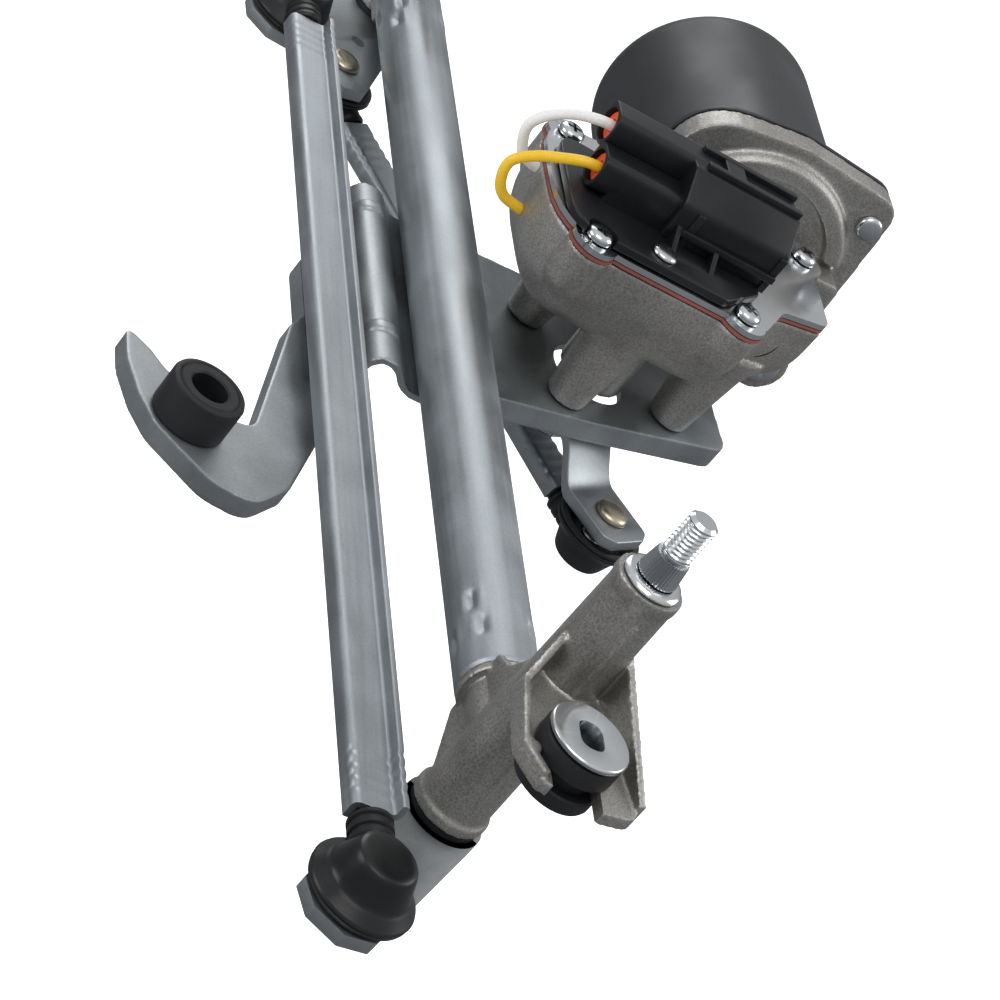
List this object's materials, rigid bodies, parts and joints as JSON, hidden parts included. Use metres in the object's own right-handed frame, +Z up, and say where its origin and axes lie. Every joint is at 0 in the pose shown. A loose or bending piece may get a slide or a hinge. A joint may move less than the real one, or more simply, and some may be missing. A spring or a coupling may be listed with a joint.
{
  "type": "windshield wiper assembly",
  "caption": "Car wiper drive: a tube frame with a wiper pivot at each end, a gear motor on a bracket, and a crank, levers and rods that sweep both shafts.",
  "frame": {"origin": "on the near pivot axis, at the height of the frame tube axis", "axes": "+Z up along the wiper shafts, +X along the frame tube to the far pivot, +Y to the side of the levers and rods, away from the motor"},
  "size_m": [0.4684, 0.2267, 0.1474],
  "materials": {
    "zinc_tube": "zinc plated, satin",
    "bracket_steel": "zinc plated, dull",
    "casting": "as cast, fine grain",
    "bright_steel": "bright zinc plated",
    "rubber": "matt",
    "black_plastic": "moulded, satin",
    "can_paint": "satin black paint",
    "gasket_red": "matt",
    "seal_orange": "satin",
    "wire_white": "satin insulation",
    "wire_yellow": "satin insulation",
    "terminal_brass": "plain",
    "gear_plastic": "moulded",
    "copper": "enamelled windings and commutator",
    "ferrite": "sintered"
  },
  "bodies": {
    "frame": {"frame_tube": "zinc_tube", "motor_bracket": "bracket_steel", "bracket_arm": "bracket_steel", "near_pivot_housing": "casting", "far_pivot_housing": "casting", "near_bush": "black_plastic", "far_bush": "black_plastic", "near_grommet": "rubber", "far_grommet": "rubber", "arm_grommet": "rubber", "near_sleeve": "bright_steel", "far_sleeve": "bright_steel", "gearbox_housing": "casting", "gearbox_cover": "bright_steel", "cover_gasket": "gasket_red", "motor_can": "can_paint", "magnet_upper": "ferrite", "magnet_lower": "ferrite", "brush_card": "black_plastic", "connector_housing": "black_plastic", "connector_terminals": "terminal_brass", "wire_seal_1": "seal_orange", "wire_seal_2": "seal_orange", "wire_white": "wire_white", "wire_yellow": "wire_yellow", "connector_rivet": "bright_steel", "cover_screw_1": "bright_steel", "cover_screw_2": "bright_steel", "cover_screw_3": "bright_steel", "cover_screw_4": "bright_steel", "mount_bolt_1": "bright_steel", "mount_bolt_2": "bright_steel", "mount_bolt_3": "bright_steel", "yoke_screw": "bright_steel", "yoke_rivet": "bright_steel"},
    "crank": {"crank_arm": "zinc_tube", "crank_nut": "bright_steel", "crank_rivet": "bright_steel", "output_shaft": "bright_steel", "worm_gear": "gear_plastic"},
    "armature": {"armature_shaft": "bright_steel", "armature_core": "copper", "commutator": "copper"},
    "far_lever": {"far_lever": "zinc_tube", "far_shaft": "bright_steel", "far_shaft_cap": "bright_steel", "far_stud_long": "bright_steel", "far_stud_short": "bright_steel"},
    "near_lever": {"near_lever": "zinc_tube", "near_shaft": "bright_steel", "near_shaft_cap": "bright_steel", "near_rivet": "bright_steel"},
    "long_rod": {"long_rod": "zinc_tube", "long_rod_near_socket": "black_plastic", "long_rod_far_socket": "black_plastic", "near_ball": "bright_steel"},
    "short_rod": {"short_rod": "zinc_tube", "short_rod_far_socket": "black_plastic", "short_rod_crank_socket": "black_plastic", "crank_ball": "bright_steel"}
  },
  "joints": [
    {"name": "crank_turn", "type": "hinge", "parent": "frame", "child": "crank", "pos_m": [0.20263, -0.06124, -0.026], "axis": [0, 0, -1], "range_deg": [0, 183.92]},
    {"name": "far_sweep", "type": "hinge", "parent": "frame", "child": "far_lever", "pos_m": [0.367, 0, -0.0145], "axis": [0, 0, -1], "range_deg": [0, 94.1]},
    {"name": "near_sweep", "type": "hinge", "parent": "frame", "child": "near_lever", "pos_m": [0, 0, -0.027], "axis": [0, 0, -1], "range_deg": [0, 100.58]},
    {"name": "long_rod_swing", "type": "hinge", "parent": "far_lever", "child": "long_rod", "pos_m": [0.33053, 0.03776, -0.007], "axis": [0, 0, 1], "range_deg": [0, 92.44]},
    {"name": "short_rod_swing", "type": "hinge", "parent": "far_lever", "child": "short_rod", "pos_m": [0.31892, 0.01759, -0.026], "axis": [0, 0, 1], "range_deg": [0, 90.18]},
    {"name": "armature_spin", "type": "hinge", "parent": "frame", "child": "armature", "pos_m": [0.203, -0.09044, 0.033], "axis": [1, 0, 0], "range_deg": [0, 6622.1]}
  ],
  "couplings": [
    {"joint": "far_sweep", "follows": "crank_turn", "ratio": 0.51159},
    {"joint": "near_sweep", "follows": "crank_turn", "ratio": 0.5468},
    {"joint": "long_rod_swing", "follows": "crank_turn", "ratio": 0.50253},
    {"joint": "short_rod_swing", "follows": "crank_turn", "ratio": 0.49028},
    {"joint": "armature_spin", "follows": "crank_turn", "ratio": 36}
  ]
}
